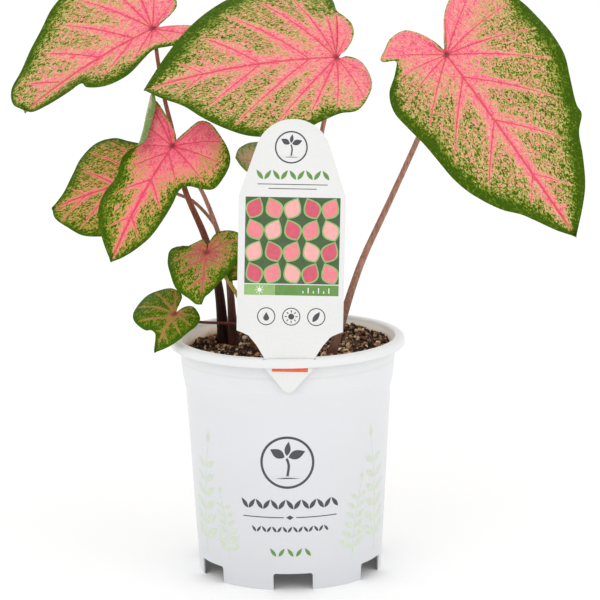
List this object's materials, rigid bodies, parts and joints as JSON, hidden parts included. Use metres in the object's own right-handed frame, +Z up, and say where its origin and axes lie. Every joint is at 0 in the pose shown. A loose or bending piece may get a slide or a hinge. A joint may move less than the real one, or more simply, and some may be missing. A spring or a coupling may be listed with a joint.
{
  "type": "potted caladium plant",
  "caption": "Young caladium with pink and green heart-shaped leaves on slim petioles, growing in a white nursery pot of soil with a plain plant label in its lip.",
  "frame": {"origin": "middle of the pot's foot, on the surface that the pot stands on, under the middle of the whole plant's box", "axes": "+Z up; -Y towards the front, where the label stands in the lip; +X to the right seen from the front"},
  "size_m": [0.2929, 0.1616, 0.3109],
  "materials": {
    "pot_white": "smooth, slightly glossy moulded plastic",
    "label_white": "satin printed plastic card",
    "potting_soil": "crumbly peat and bark",
    "tuber_brown": "rough brown skin",
    "petiole_brown": "smooth stem with fine dark specks",
    "leaf_pink_green": "soft satin leaf, pink with a green margin"
  },
  "bodies": {
    "root": {"pot": "pot_white", "soil": "potting_soil", "label": "label_white", "tuber_left": "tuber_brown", "tuber_right": "tuber_brown", "petiole_upper_left": "petiole_brown", "petiole_upper_middle": "petiole_brown", "petiole_upper_right": "petiole_brown", "petiole_side_front": "petiole_brown", "petiole_side_back": "petiole_brown", "petiole_small_middle": "petiole_brown", "petiole_small_low": "petiole_brown", "petiole_young_curled": "petiole_brown", "petiole_young_dark": "petiole_brown", "leaf_upper_left": "leaf_pink_green", "leaf_upper_middle": "leaf_pink_green", "leaf_upper_right": "leaf_pink_green", "leaf_side_front": "leaf_pink_green", "leaf_side_back": "leaf_pink_green", "leaf_small_middle": "leaf_pink_green", "leaf_small_low": "leaf_pink_green", "leaf_young_curled": "leaf_pink_green", "leaf_young_dark": "leaf_pink_green"}
  },
  "joints": []
}
